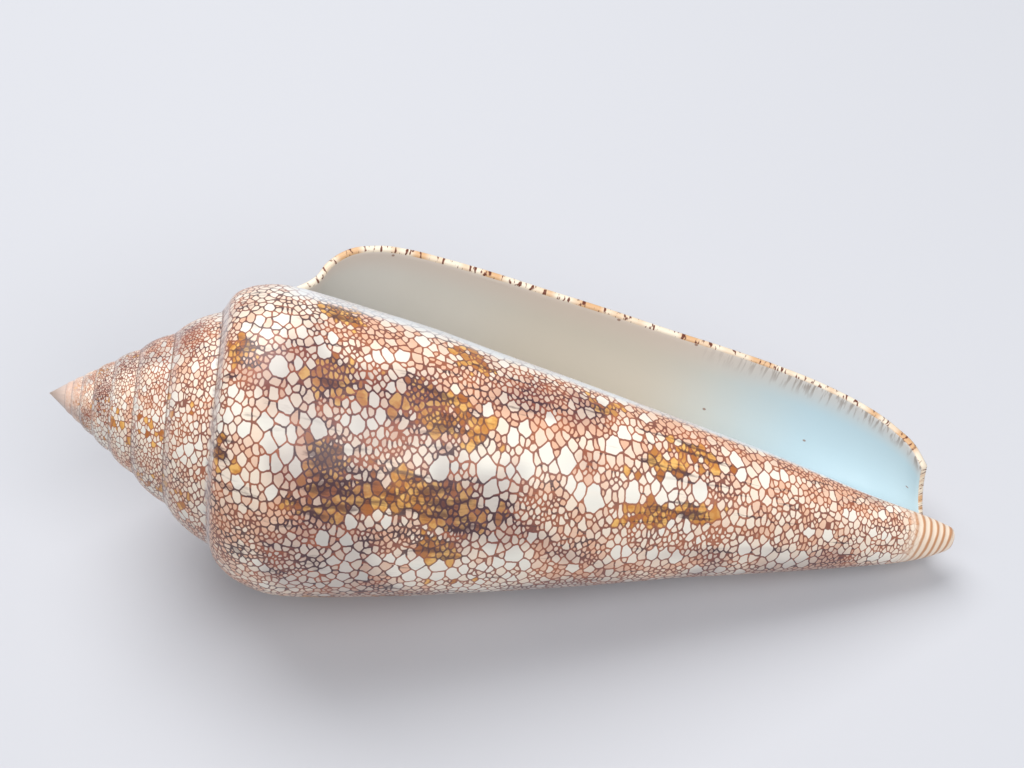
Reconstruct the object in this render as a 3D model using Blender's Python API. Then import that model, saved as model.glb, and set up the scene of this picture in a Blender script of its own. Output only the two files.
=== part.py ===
"""Cone shell: one tall, right-handed, spiral shell lying on its side.

The shell is a single wall that winds about one straight axis. It is laid out in
millimetres along that axis and turned into its resting place at the end.

along    distance from the apex towards the narrow front end
radius   distance from the winding axis
turn     growth angle in degrees, 0 at the lip, negative for older parts

Every older turn of the spire is the same outline made smaller by one ratio.
The last turn runs on to the front end, and its wall lifts off the shell towards
the lip. Behind the lip a slot winds back between the wall and the covered core.
"""
import math

import bmesh
import bpy
import numpy as np

MM = 0.001

# Driving sizes, in millimetres and degrees.
WHORL_RATIO = 1.37        # growth of the spire in one full turn
SUTURE_ALONG = 26.5       # where the last turn meets the shell at the lip
SUTURE_RADIUS = 18.3
SPIRE_TURNS = 7           # full turns modelled behind the last one
STEP = 10                 # degrees between two outlines
TIP_ALONG = 120.0
FLARE_TURN = -110.0       # where the wall starts to lift off towards the lip
SLOT_DEPTH = 305          # degrees that the slot winds in behind the lip
MARGIN_DEPTH = 155        # degrees that the slot stays open at the front end
LIP_THICKNESS = 0.95
WALL_THICKNESS = 1.7
LEAST_GAP = 0.45          # the slot is never narrower than this
SLOT_SHORTER = 8.0        # how far the slot's front end draws back in its depth
CLOSING_LENGTH = 9.0      # over which the slot's front end narrows to nothing
SLOT_END = 40.0           # degrees over which the deep end of the slot narrows
MARGIN_STEP = 50.0        # degrees over which the slot opens out at the front margin
THICKENING = 45.0         # degrees behind the lip where the wall has its full thickness
BLEND_TURNS = 120.0       # degrees over which the spire passes into the last turn
RIM_ROUND = 0.4           # how far the rim swells out, as a share of its thickness
TIP_FORWARD, TIP_SIZE = 0.7, 0.6   # the ring that rounds the front tip
APEX_FORWARD = 0.55       # the apex, as a share of the oldest suture's distance
DOWN_TURN = -113.4        # growth angle that points at the ground
DIP = 10.8                # degrees that the front end hangs below level

# One ridge of a spire turn, as ratios of the suture's own place and radius.
SPIRE_RIDGE = [(1.0, 1.0), (1.072, 1.115), (1.16, 1.215), (1.262, 1.30), (1.37, 1.37)]

# Outline of the last turn from the shoulder to the front end, (along, radius), at
# three growth angles: under the lip, half a turn on, and at the lip itself.
TURN_UNDER, TURN_HALF, TURN_LIP = -350.0, -170.0, 0.0
OUTLINE_UNDER = [
    (20.8, 15.9), (22.4, 17.1), (24.4, 17.8), (26.9, 18.15), (28.4, 18.1),
    (32.4, 17.7), (38.5, 16.9), (46.5, 15.8), (55.0, 14.2), (64.0, 12.6), (73.0, 10.9),
    (82.0, 9.25), (91.0, 7.55), (99.5, 5.9), (106.5, 4.3), (112.5, 3.0), (116.5, 2.0),
    (118.8, 1.3)]
OUTLINE_HALF = [
    (24.0, 17.6), (25.9, 19.2), (28.4, 20.2), (31.0, 20.75), (32.6, 20.75),
    (37.1, 20.3), (43.0, 19.4), (50.0, 18.2), (58.0, 16.6), (66.5, 14.9), (75.0, 13.0),
    (83.5, 11.0), (92.0, 9.3), (100.0, 7.6), (106.8, 6.1), (112.6, 4.7), (116.6, 3.4),
    (118.7, 2.4)]
OUTLINE_LIP = [
    (28.3, 20.6), (29.3, 23.4), (31.2, 25.5), (33.8, 26.6), (36.0, 27.1),
    (40.5, 27.2), (46.5, 26.6), (53.5, 25.8), (61.0, 24.7), (69.5, 23.4), (78.0, 21.9),
    (86.0, 20.6), (93.5, 19.2), (100.5, 17.5), (106.3, 15.4), (110.6, 13.1), (113.6, 10.9),
    (115.2, 8.9)]

RIDGE_ROW = 4             # the row of the last turn where the next turn is laid on
CORE_ROW = 5              # the row where the underside of that next turn begins
LAST_ROW = len(OUTLINE_LIP)


def ratio(turn):
    return WHORL_RATIO ** (turn / 360.0)


def smooth(part):
    part = min(max(part, 0.0), 1.0)
    return part * part * (3 - 2 * part)


def last_turn(turn, row):
    """A point of the last turn's outer face, from the suture side to the front."""
    under, half, lip = OUTLINE_UNDER[row - 1], OUTLINE_HALF[row - 1], OUTLINE_LIP[row - 1]
    scale = TURN_HALF - TURN_UNDER
    x, x_lip = (turn - TURN_UNDER) / scale, (TURN_LIP - TURN_UNDER) / scale
    # The place along the axis runs smoothly through all three outlines.
    bend = (lip[0] - under[0] - x_lip * (half[0] - under[0])) / (x_lip * (x_lip - 1))
    along = under[0] + (half[0] - under[0] - bend) * x + bend * x * x
    # The radius grows by an even ratio, and then the flare adds to it.
    growth = math.log(half[1] / under[1])
    x_flare = (FLARE_TURN - TURN_UNDER) / scale
    flare = math.log(lip[1] / under[1]) - growth * x_lip
    part = max(0.0, (x - x_flare) / (x_lip - x_flare))
    return along, under[1] * math.exp(growth * x + flare * part * part)


def spire(turn, row):
    along_ratio, radius_ratio = SPIRE_RIDGE[row]
    return (SUTURE_ALONG * ratio(turn) * along_ratio,
            SUTURE_RADIUS * ratio(turn) * radius_ratio)


def closing_along(turn):
    """How far forward the slot reaches at a growth angle of the wall over it."""
    end = last_turn(-360, LAST_ROW)[0]
    if turn >= -MARGIN_DEPTH:
        return end + CLOSING_LENGTH * min((turn + MARGIN_DEPTH) / MARGIN_STEP, 1.0)
    part = (-turn - MARGIN_DEPTH) / (SLOT_DEPTH - MARGIN_DEPTH)
    return end - SLOT_SHORTER * (1 - math.cos(part * math.pi / 2))


def core(turn, row):
    """A point of the core inside the mouth, for growth angles before -360."""
    at_lip = [last_turn(-360, r)[0] for r in (CORE_ROW, row, LAST_ROW)]
    start = suture(turn + 360)[0] + (at_lip[0] - suture(0)[0]) * ratio(turn + 360)
    end = min(closing_along(turn + 360), at_lip[2])
    along = start + (at_lip[1] - at_lip[0]) * (end - start) / (at_lip[2] - at_lip[0])
    return along, last_turn(-360, row)[1] * ratio(turn + 360)


def outline(turn, row):
    """(along, radius) of the outer face at a growth angle. Row 0 is the suture."""
    if row == 0:
        return suture(turn)
    if turn >= -360:
        return last_turn(turn, row)
    if row > RIDGE_ROW:
        return core(turn, row)
    # The spire's even growth passes into the last turn's own outline.
    part = smooth((turn + 360 + BLEND_TURNS) / BLEND_TURNS)
    if part == 0:
        return spire(turn, row)
    old, new = spire(turn, row), last_turn(turn, row)
    return tuple(o + (n - o) * part for o, n in zip(old, new))


def suture(turn):
    """Where a turn begins, on the shoulder of the turn before it."""
    if turn <= -360:
        return SUTURE_ALONG * ratio(turn), SUTURE_RADIUS * ratio(turn)
    return outline(turn - 360, RIDGE_ROW)


def place(along, radius, turn):
    """The point in millimetres, with the shell's axis along +X."""
    angle = math.radians(turn - DOWN_TURN)
    return np.array([along, radius * math.sin(angle), -radius * math.cos(angle)])


def outer_point(turn, row):
    along, radius = outline(turn, row)
    return place(along, radius, turn)


def radius_at(turn, along, rows):
    points = [outline(turn, row) for row in rows]
    return float(np.interp(along, [p[0] for p in points], [p[1] for p in points]))


def wall_thickness(turn, row):
    thick = LIP_THICKNESS + (WALL_THICKNESS - LIP_THICKNESS) * min(-turn / THICKENING, 1.0)
    front = max(0.0, (row - (LAST_ROW - 3)) / 3.0)
    return thick + (LIP_THICKNESS - thick) * front


def inner_point(turn, row):
    """The inside of the wall, one wall thickness in from the outer face."""
    if row == 0:
        return outer_point(turn - 360, CORE_ROW)
    before, after = max(turn - 4, -359), turn + 4
    along_growth = outer_point(after, row) - outer_point(before, row)
    down = outer_point(turn, min(row + 1, LAST_ROW)) - outer_point(turn, row - 1)
    normal = np.cross(down, along_growth)
    normal /= np.linalg.norm(normal)
    here = outer_point(turn, row)
    if normal @ np.array([0, here[1], here[2]]) < 0:
        normal = -normal
    thick = wall_thickness(turn, row)
    inside = here - normal * thick
    angle = math.degrees(math.atan2(inside[1], -inside[2])) + DOWN_TURN
    angle = turn + (angle - turn + 180) % 360 - 180
    along, radius = inside[0], math.hypot(inside[1], inside[2])
    closing = closing_along(turn)
    if turn < -MARGIN_DEPTH and row > CORE_ROW:
        first, mid, last = [outline(turn, r)[0] for r in (CORE_ROW, row, LAST_ROW)]
        along = first + (mid - first) * (closing - first) / (last - first)
        radius = radius_at(turn, along, range(1, LAST_ROW + 1)) - thick
    under = radius_at(angle - 360, along, range(CORE_ROW, LAST_ROW + 1))
    narrow = math.sqrt(min(max((closing - along) / CLOSING_LENGTH, 0.0), 1.0))
    radius = under + max(radius - under, LEAST_GAP) * narrow
    point = place(along, radius, angle)
    # The deep end of the slot draws in towards the core.
    end = min(max((-turn - (SLOT_DEPTH - SLOT_END)) / SLOT_END, 0.0), 0.99)
    if end > 0:
        along, radius = outline(turn - 360, max(row, CORE_ROW))
        point = point + (place(along, radius, turn) - point) * (1 - math.sqrt(1 - end * end))
    return point


def turn_angles(oldest):
    """Growth angles from oldest to 0, the same places in every full turn."""
    one = [0] + [-(5 + STEP * k) for k in range(36)]
    angles = [a - 360 * n for n in range(SPIRE_TURNS + 2) for a in one]
    return sorted(a for a in angles if a >= oldest)


class Shell:
    """Vertices with names, so that each is made once, and faces between them."""

    def __init__(self):
        self.points, self.index, self.faces = [], {}, []

    def vertex(self, name, point):
        if name not in self.index:
            self.index[name] = len(self.points)
            self.points.append(np.asarray(point, float))
        return self.index[name]

    def face(self, *corners):
        self.faces.append(corners)


def build_shell():
    shell = Shell()
    oldest = -360 * (SPIRE_TURNS + 1)
    angles = turn_angles(oldest)

    def outer(turn, row):
        # The suture of a turn is the ridge of the turn before it.
        if row == 0 and turn - 360 >= oldest:
            turn, row = turn - 360, RIDGE_ROW
        return shell.vertex(("out", turn, row), outer_point(turn, row))

    def inner(turn, row):
        if row == 0:
            return outer(turn - 360, CORE_ROW)
        if row == LAST_ROW and turn <= -MARGIN_DEPTH:
            return outer(turn - 360, LAST_ROW)
        return shell.vertex(("in", turn, row), inner_point(turn, row))

    pairs = list(zip(angles[:-1], angles[1:]))
    slot = [(a, b) for a, b in pairs if a >= -SLOT_DEPTH]
    add_outside(shell, pairs, outer)
    for a, b in slot:
        for row in range(LAST_ROW):
            shell.face(inner(a, row), inner(a, row + 1), inner(b, row + 1), inner(b, row))
    add_slot_end(shell, outer, inner)
    add_rim(shell, [a for a in angles if -MARGIN_DEPTH <= a <= 0], outer, inner)
    add_front_tip(shell, angles, outer)
    add_apex(shell, [a for a in angles if a <= oldest + 360], outer)
    return shell


def add_outside(shell, pairs, outer):
    """The spire's ridges, the last turn, and the core that shows in the mouth."""
    for a, b in pairs:
        rows = list(range(RIDGE_ROW))
        if a >= -360:
            rows.append(RIDGE_ROW)
        if a >= -360 - SLOT_DEPTH:
            rows += range(CORE_ROW, LAST_ROW)
        for row in rows:
            shell.face(outer(a, row), outer(b, row), outer(b, row + 1), outer(a, row + 1))


def add_slot_end(shell, outer, inner):
    """The deep end of the slot, a narrow strip between the wall and the core."""
    end = -SLOT_DEPTH
    under = [outer(end - 360, row) for row in range(CORE_ROW, LAST_ROW + 1)]
    wall = [inner(end, row) for row in range(LAST_ROW + 1)]
    for row in range(1, CORE_ROW):
        shell.face(under[0], wall[row], wall[row + 1])
    for k in range(len(under) - 2):
        shell.face(under[k], wall[k + CORE_ROW], wall[k + CORE_ROW + 1], under[k + 1])
    shell.face(under[-2], wall[-2], wall[-1])


def add_rim(shell, angles, outer, inner):
    """The rounded edge: down the lip, then back along the front margin."""
    rim = [(0, row) for row in range(LAST_ROW)]
    rim += [(a, LAST_ROW) for a in reversed(angles)]
    middle = []
    for k, (turn, row) in enumerate(rim):
        out, inn = shell.points[outer(turn, row)], shell.points[inner(turn, row)]
        growth = outer_point(turn, row) - outer_point(turn - 2, row)
        growth /= np.linalg.norm(growth)
        ahead = smooth((row - (LAST_ROW - 4)) / 4.0) if turn == 0 else 1.0
        push = growth * (1 - ahead * (0.5 if turn == 0 else 1.0)) + [ahead, 0, 0]
        push *= RIM_ROUND * np.linalg.norm(out - inn) / np.linalg.norm(push)
        if 0 < k < len(rim) - 1:
            middle.append(shell.vertex(("rim", k), (out + inn) / 2 + push))
        else:
            middle.append(None)
    for k in range(len(rim) - 1):
        o0, o1 = outer(*rim[k]), outer(*rim[k + 1])
        i0, i1 = inner(*rim[k]), inner(*rim[k + 1])
        m0, m1 = middle[k], middle[k + 1]
        if m0 is None:
            shell.face(o0, m1, o1)
            shell.face(o0, i0, m1)
            shell.face(i0, i1, m1)
        elif m1 is None:
            shell.face(o0, m0, o1)
            shell.face(m0, i1, o1)
            shell.face(m0, i0, i1)
        else:
            shell.face(o0, m0, m1, o1)
            shell.face(m0, i0, i1, m1)


def add_front_tip(shell, angles, outer):
    """The blunt front end of the core."""
    ring = [outer(a, LAST_ROW) for a in angles if -360 - MARGIN_DEPTH <= a <= -MARGIN_DEPTH]
    small = []
    for k, corner in enumerate(ring):
        x, y, z = shell.points[corner]
        point = [x + (TIP_ALONG - x) * TIP_FORWARD, y * TIP_SIZE, z * TIP_SIZE]
        small.append(shell.vertex(("tip", k), point))
    centre = shell.vertex("tip", [TIP_ALONG, 0, 0])
    for k in range(len(ring)):
        n = (k + 1) % len(ring)
        shell.face(ring[k], ring[n], small[n], small[k])
        shell.face(small[k], small[n], centre)


def add_apex(shell, first_turn, outer):
    """The blunt apex, over the oldest turn that is modelled."""
    oldest = first_turn[0]
    loop = [outer(a, 0) for a in first_turn]
    loop += [outer(oldest, row) for row in range(RIDGE_ROW - 1, 0, -1)]
    apex = shell.vertex("apex", [suture(oldest)[0] * APEX_FORWARD, 0, 0])
    for k in range(len(loop)):
        shell.face(loop[k], apex, loop[(k + 1) % len(loop)])


def rest(points):
    """Dip the front end, then set the lowest point on the ground."""
    dip = math.radians(DIP)
    x = points[:, 0] * math.cos(dip) + points[:, 2] * math.sin(dip)
    z = -points[:, 0] * math.sin(dip) + points[:, 2] * math.cos(dip)
    turned = np.stack([x, points[:, 1], z], axis=1)
    low, high = turned.min(axis=0), turned.max(axis=0)
    turned -= [(low[0] + high[0]) / 2, (low[1] + high[1]) / 2, low[2]]
    return turned * MM


def porcelain():
    """The glossy, cream and brown surface of the shell."""
    material = bpy.data.materials.new("shell_porcelain")
    material.use_nodes = True
    shader = material.node_tree.nodes["Principled BSDF"]
    shader.inputs["Base Color"].default_value = (0.52, 0.33, 0.22, 1.0)
    shader.inputs["Roughness"].default_value = 0.25
    shader.inputs["Metallic"].default_value = 0.0
    return material


def main():
    for old in list(bpy.data.objects):
        bpy.data.objects.remove(old)
    collection = bpy.data.collections.new("cone shell")
    bpy.context.scene.collection.children.link(collection)
    shell = build_shell()
    mesh = bpy.data.meshes.new("cone_shell")
    mesh.from_pydata([tuple(p) for p in rest(np.array(shell.points))], [], shell.faces)
    work = bmesh.new()
    work.from_mesh(mesh)
    bmesh.ops.recalc_face_normals(work, faces=work.faces)
    work.to_mesh(mesh)
    work.free()
    mesh.shade_smooth()
    mesh.materials.append(porcelain())
    part = bpy.data.objects.new("cone_shell", mesh)
    collection.objects.link(part)


main()
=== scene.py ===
import math

import bpy
import numpy as np
from mathutils import Matrix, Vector
from mathutils.kdtree import KDTree


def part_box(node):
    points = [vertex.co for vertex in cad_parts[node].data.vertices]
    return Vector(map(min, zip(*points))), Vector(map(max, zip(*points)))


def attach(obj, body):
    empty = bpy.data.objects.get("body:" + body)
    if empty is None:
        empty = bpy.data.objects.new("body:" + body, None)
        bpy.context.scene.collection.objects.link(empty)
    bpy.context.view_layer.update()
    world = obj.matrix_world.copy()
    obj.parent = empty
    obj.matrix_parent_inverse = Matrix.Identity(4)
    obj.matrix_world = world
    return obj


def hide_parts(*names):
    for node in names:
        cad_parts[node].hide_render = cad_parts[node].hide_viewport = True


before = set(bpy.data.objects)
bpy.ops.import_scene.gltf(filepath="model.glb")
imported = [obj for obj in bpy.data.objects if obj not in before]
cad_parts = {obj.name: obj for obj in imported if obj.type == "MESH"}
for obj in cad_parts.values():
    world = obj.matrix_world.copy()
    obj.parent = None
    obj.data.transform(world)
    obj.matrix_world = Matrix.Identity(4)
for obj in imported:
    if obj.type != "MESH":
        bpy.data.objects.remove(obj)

# A cone shell on a pale studio floor. The shell is one closed mesh: its sheets are grids,
# shaped along the coil, joined and merged. The net on its outside is made of cells of many
# sizes, packed on the last turn's cone rolled out flat. Each face of the mesh carries the
# cells nearest to it, and the material draws a line where two of them are equally near.
#
# A place on the shell is a turn and a row. The turn is its growth angle in degrees, 0 at
# the lip and lower on older parts. The row is its distance from the suture in millimetres,
# or in the tables of outlines the number of the point.

bl_info = {
    "name": "Cone Shell",
    "version": (1, 0, 0),
    "blender": (4, 5, 0),
    "location": "View3D > Sidebar > Cone Shell",
    "description": "Builds a glossy, net-patterned cone shell and its studio",
    "category": "Add Mesh",
}

MM = 0.001

# The shell's shape, in millimetres and degrees, as its solid has it.
WHORL_RATIO = 1.37        # how much the coil grows in one turn
SUTURE_ALONG = 26.5       # the spire's suture carried on to the lip: from the apex
SUTURE_RADIUS = 18.3      # and from the axis
SPIRE_TURNS = 7
TIP_ALONG = 120.0         # length from the apex to the front end
FLARE_TURN = -110.0       # from here to the lip the wall lifts off
SLOT_DEPTH = 305          # degrees that the slot reaches in from the lip
MARGIN_DEPTH = 155        # degrees of it that are open at the front, to the margin's end
LIP_THICKNESS = 0.95
WALL_THICKNESS = 1.7
LEAST_GAP = 0.45          # the slot is nowhere narrower before it closes
SLOT_SHORTER = 8.0        # how much less far forward the slot reaches at its deep end
CLOSING_LENGTH = 9.0      # length over which the slot closes at its front
SLOT_END = 40.0           # degrees over which its deep end closes
MARGIN_STEP = 50.0        # degrees over which the slot opens at the margin's end
THICKENING = 45.0         # degrees from the lip over which the wall thickens
BLEND_TURNS = 120.0       # degrees over which the spire's outline becomes the last turn's
RIM_ROUND = 0.4           # how far the rim bulges, as a share of its thickness
TIP_STEPS = [(0.25, 0.93), (0.5, 0.82), (0.7, 0.6), (0.9, 0.35)]  # forward, size
APEX_FORWARD = 0.1        # where the apex closes, as a share of its ring's distance
DOWN_TURN = -113.4        # growth angle that faces the floor
DIP = 10.8                # degrees that the front end dips
# From suture to ridge: distance and radius as shares of the suture's.
SPIRE_RIDGE = [(1.0, 1.0), (1.072, 1.115), (1.16, 1.215), (1.262, 1.30), (1.37, 1.37)]
# Three outlines of the last turn, by their growth angles: distance and radius.
TURN_UNDER, TURN_HALF, TURN_LIP = -350.0, -170.0, 0.0
OUTLINE_UNDER = [
    (20.8, 15.9), (22.4, 17.1), (24.4, 17.8), (26.9, 18.15), (28.4, 18.1),
    (32.4, 17.7), (38.5, 16.9), (46.5, 15.8), (55.0, 14.2), (64.0, 12.6), (73.0, 10.9),
    (82.0, 9.2), (91.0, 7.4), (99.5, 5.5), (106.5, 3.8), (112.5, 2.6), (116.5, 1.8),
    (118.8, 1.2)]
OUTLINE_HALF = [
    (24.0, 17.6), (25.9, 19.2), (28.4, 20.2), (31.0, 20.75), (32.6, 20.75),
    (37.1, 20.3), (43.0, 19.4), (50.0, 18.2), (58.0, 16.6), (66.5, 14.9), (75.0, 13.0),
    (83.5, 11.0), (92.0, 9.3), (100.0, 7.6), (106.8, 6.1), (112.6, 4.7), (116.6, 3.4),
    (118.7, 2.4)]
OUTLINE_LIP = [
    (30.2, 20.6), (31.6, 23.0), (33.4, 24.9), (35.6, 26.1), (37.6, 26.6),
    (41.5, 26.9), (47.0, 26.5), (53.8, 25.7), (61.2, 24.6), (69.5, 23.4), (78.0, 22.0),
    (86.0, 20.8), (93.5, 19.5), (100.5, 17.9), (106.5, 15.9), (111.0, 13.6), (114.0, 11.3),
    (115.6, 9.0)]
RIDGE_ROW = 4             # point of the outlines that the next turn's suture lies on
CORE_ROW = 5              # first point of the outlines inside the mouth
LAST_ROW = len(OUTLINE_LIP)

# How finely the sheets are divided.
FINE_TURN = 1.8           # degrees between two columns of the outside
COARSE_TURN = 5.0         # degrees between two columns deep in the slot
RIDGE_CELLS = 16          # rows from the suture to the ridge that the next turn covers
FOOT_CELLS = 4            # rows under the foot of the next turn, and columns of the rim
BODY_CELL = 0.65          # millimetres between two rows of the last turn
FIRST_KNOT = 2.2          # distance from the suture to the first row of the outline
SEAM = 0.002 * MM         # points of two sheets closer than this become one
NEARLY = 1e-6             # slack in comparing growth angles and rows
UV_TURN, UV_ROW = 360.0, 100.0         # degrees and millimetres to one unit of the growth UV

# The net of cells, packed on the last turn's cone rolled out flat, in millimetres.
CONE_SLANT = 103.0        # from the point of the cone to the shoulder
SHOULDER_ROW = 9.0        # row distance of the shoulder
NET_SLOTS = 12            # cells that one mesh face can show
NET_PIXEL = 0.1           # fineness of the map of free room
ROUND_PART, CORNER_PART = 0.55, 0.38   # how round and how lozenge-like a cell is
SHIELD = 0.26             # how much a cell is drawn out to a point, the way it grows
TALLER = 0.85             # cells are taller along the growth than they are wide
PACKING = 0.88            # room that a new cell needs, as a share of its radius
SMALLEST, LARGEST = 0.22, 1.3          # cell radii
USUAL_RADIUS = 0.405      # radius for one millimetre of the cell size that is asked for
TENT_RADIUS = 0.70        # radius of a listed tent, for a stretch of 1
TENT_TRIES = 1400         # tries at large cells elsewhere
ROUNDS = ((70000, 1.0), (70000, 0.72), (90000, 0.52))   # tries, and how large they are
LARGE_CELL = 0.5          # cells from this radius on are searched from further away
NEAR_LARGE, NEAR_SMALL = 4, 16         # cells of each sort that are tried for a face
FAR = 9.0                 # out of any cell's reach
CORNER_FILL = 1.9         # line widths over which lines that meet add up
OWN_ONLY = 2000.0         # how sharply a cell's own kind stops at its edge
MAP_MARGIN = 16.0         # room around the cone on the map of free room
SEED = 27

# Where the markings of the two ends and of the suture, and a painted reflection beside the mouth,
# begin.
WORN_TURN = -1650         # the old turns are worn from here to the apex
RIBBED_ROW = 91.5         # the front end is ribbed from here on
RIB_SPACING = 1.1         # millimetres between two ribs
RIB_WAVES = 2             # how often the ribs sway in one turn
SUTURE_BAND = 2.1         # width of the veined band along the suture
PAINTED_REFLECTION_TURN = -317.0       # a painted pale reflection covers the net beside the mouth before this turn

# The shell's looks, in the order of its materials.
NET_LOOK, LIP_LOOK, RIM_LOOK = range(3)


def hex_colour(text):
    """A hex sRGB colour as linear RGBA."""
    parts = [int(text[k:k + 2], 16) / 255 for k in (1, 3, 5)]
    return tuple(c / 12.92 if c <= 0.04045 else ((c + 0.055) / 1.055) ** 2.4
                 for c in parts) + (1.0,)


class ShellMarkings(bpy.types.PropertyGroup):
    cell_size: bpy.props.FloatProperty(
        name="Cell size", description="Usual width of a cell of the net",
        default=1.0 * MM, min=0.4 * MM, max=4 * MM, unit="LENGTH")
    line_width: bpy.props.FloatProperty(
        name="Line width", description="Usual width of a line of the net",
        default=0.17 * MM, min=0.05 * MM, max=1 * MM, unit="LENGTH")
    cream: bpy.props.FloatVectorProperty(
        name="Cream", description="Ground colour of the cells", subtype="COLOR",
        size=4, default=hex_colour("#f2e0cc"))
    line_colour: bpy.props.FloatVectorProperty(
        name="Line colour", description="Red-brown of the net", subtype="COLOR",
        size=4, default=hex_colour("#a1583b"))
    dark: bpy.props.FloatVectorProperty(
        name="Dark", description="Purple-brown of the streaks", subtype="COLOR",
        size=4, default=hex_colour("#4a3238"))
    orange: bpy.props.FloatVectorProperty(
        name="Orange", description="Blotches in three bands", subtype="COLOR",
        size=4, default=hex_colour("#efbb6c"))


class ShellStudio(bpy.types.PropertyGroup):
    floor_colour: bpy.props.FloatVectorProperty(
        name="Floor colour", description="Pale floor", subtype="COLOR",
        size=4, default=hex_colour("#c6c7cc"))
    key_power: bpy.props.FloatProperty(
        name="Key light", description="Power of the large soft light", default=4.2,
        min=0.0, unit="POWER")


# The coil, as the solid has it.


def ratio(turn):
    """The size of the coil at a growth angle, as a share of its size at the lip."""
    return WHORL_RATIO ** (turn / 360.0)


def smooth(part):
    """A soft step from 0 to 1."""
    part = np.clip(part, 0.0, 1.0)
    return part * part * (3 - 2 * part)


def last_turn(turn, row):
    """A point of the last turn's outer face, from the suture side to the front."""
    under, half, lip = OUTLINE_UNDER[row - 1], OUTLINE_HALF[row - 1], OUTLINE_LIP[row - 1]
    scale = TURN_HALF - TURN_UNDER
    x, x_lip = (turn - TURN_UNDER) / scale, (TURN_LIP - TURN_UNDER) / scale
    bend = (lip[0] - under[0] - x_lip * (half[0] - under[0])) / (x_lip * (x_lip - 1))
    along = under[0] + (half[0] - under[0] - bend) * x + bend * x * x
    growth = math.log(half[1] / under[1])
    x_flare = (FLARE_TURN - TURN_UNDER) / scale
    flare = math.log(lip[1] / under[1]) - growth * x_lip
    part = max(0.0, (x - x_flare) / (x_lip - x_flare))
    return along, under[1] * math.exp(growth * x + flare * part * part)


def spire(turn, row):
    along_ratio, radius_ratio = SPIRE_RIDGE[row]
    return (SUTURE_ALONG * ratio(turn) * along_ratio,
            SUTURE_RADIUS * ratio(turn) * radius_ratio)


def closing_along(turn):
    """How far forward the slot reaches at a growth angle of the wall over it."""
    end = last_turn(-360, LAST_ROW)[0]
    if turn >= -MARGIN_DEPTH:
        return end + CLOSING_LENGTH * min((turn + MARGIN_DEPTH) / MARGIN_STEP, 1.0)
    part = (-turn - MARGIN_DEPTH) / (SLOT_DEPTH - MARGIN_DEPTH)
    return end - SLOT_SHORTER * (1 - math.cos(part * math.pi / 2))


def core(turn, row):
    """A point of the core inside the mouth, for growth angles before -360."""
    at_lip = [last_turn(-360, r)[0] for r in (CORE_ROW, row, LAST_ROW)]
    start = suture(turn + 360)[0] + (at_lip[0] - suture(0)[0]) * ratio(turn + 360)
    end = min(closing_along(turn + 360), at_lip[2])
    along = start + (at_lip[1] - at_lip[0]) * (end - start) / (at_lip[2] - at_lip[0])
    return along, last_turn(-360, row)[1] * ratio(turn + 360)


def outline(turn, row):
    """(along, radius) of the outer face at a growth angle. Row 0 is the suture."""
    if row == 0:
        return suture(turn)
    if turn >= -360:
        return last_turn(turn, row)
    if row > RIDGE_ROW:
        return core(turn, row)
    part = smooth((turn + 360 + BLEND_TURNS) / BLEND_TURNS)
    if part == 0:
        return spire(turn, row)
    old, new = spire(turn, row), last_turn(turn, row)
    return tuple(o + (n - o) * part for o, n in zip(old, new))


def suture(turn):
    """Where a turn begins, on the shoulder of the turn before it."""
    if turn <= -360:
        return SUTURE_ALONG * ratio(turn), SUTURE_RADIUS * ratio(turn)
    return outline(turn - 360, RIDGE_ROW)


def place(along, radius, turn):
    angle = math.radians(turn - DOWN_TURN)
    return np.array([along, radius * math.sin(angle), -radius * math.cos(angle)])


def outer_point(turn, row):
    along, radius = outline(turn, row)
    return place(along, radius, turn)


def radius_at(turn, along, rows):
    points = [outline(turn, row) for row in rows]
    return float(np.interp(along, [p[0] for p in points], [p[1] for p in points]))


def wall_thickness(turn, row):
    thick = LIP_THICKNESS + (WALL_THICKNESS - LIP_THICKNESS) * min(-turn / THICKENING, 1.0)
    front = max(0.0, (row - (LAST_ROW - 3)) / 3.0)
    return thick + (LIP_THICKNESS - thick) * front


def inner_point(turn, row):
    """The inside of the wall, one wall thickness in from the outer face."""
    if row == 0:
        return outer_point(turn - 360, CORE_ROW)
    if row == LAST_ROW and turn <= -MARGIN_DEPTH:
        return outer_point(turn - 360, LAST_ROW)
    before, after = max(turn - 4, -359), turn + 4
    along_growth = outer_point(after, row) - outer_point(before, row)
    down = outer_point(turn, min(row + 1, LAST_ROW)) - outer_point(turn, row - 1)
    normal = np.cross(down, along_growth)
    normal /= np.linalg.norm(normal)
    here = outer_point(turn, row)
    if normal @ np.array([0, here[1], here[2]]) < 0:
        normal = -normal
    thick = wall_thickness(turn, row)
    inside = here - normal * thick
    angle = math.degrees(math.atan2(inside[1], -inside[2])) + DOWN_TURN
    angle = turn + (angle - turn + 180) % 360 - 180
    along, radius = inside[0], math.hypot(inside[1], inside[2])
    closing = closing_along(turn)
    if turn < -MARGIN_DEPTH and row > CORE_ROW:
        first, mid, last = [outline(turn, r)[0] for r in (CORE_ROW, row, LAST_ROW)]
        along = first + (mid - first) * (closing - first) / (last - first)
        radius = radius_at(turn, along, range(1, LAST_ROW + 1)) - thick
    under = radius_at(angle - 360, along, range(CORE_ROW, LAST_ROW + 1))
    narrow = math.sqrt(min(max((closing - along) / CLOSING_LENGTH, 0.0), 1.0))
    radius = under + max(radius - under, LEAST_GAP) * narrow
    point = place(along, radius, angle)
    end = min(max((-turn - (SLOT_DEPTH - SLOT_END)) / SLOT_END, 0.0), 0.99)
    if end > 0:
        along, radius = outline(turn - 360, max(row, CORE_ROW))
        point = point + (place(along, radius, turn) - point) * (1 - math.sqrt(1 - end * end))
    return point


# Rows and columns of the sheets.


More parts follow.
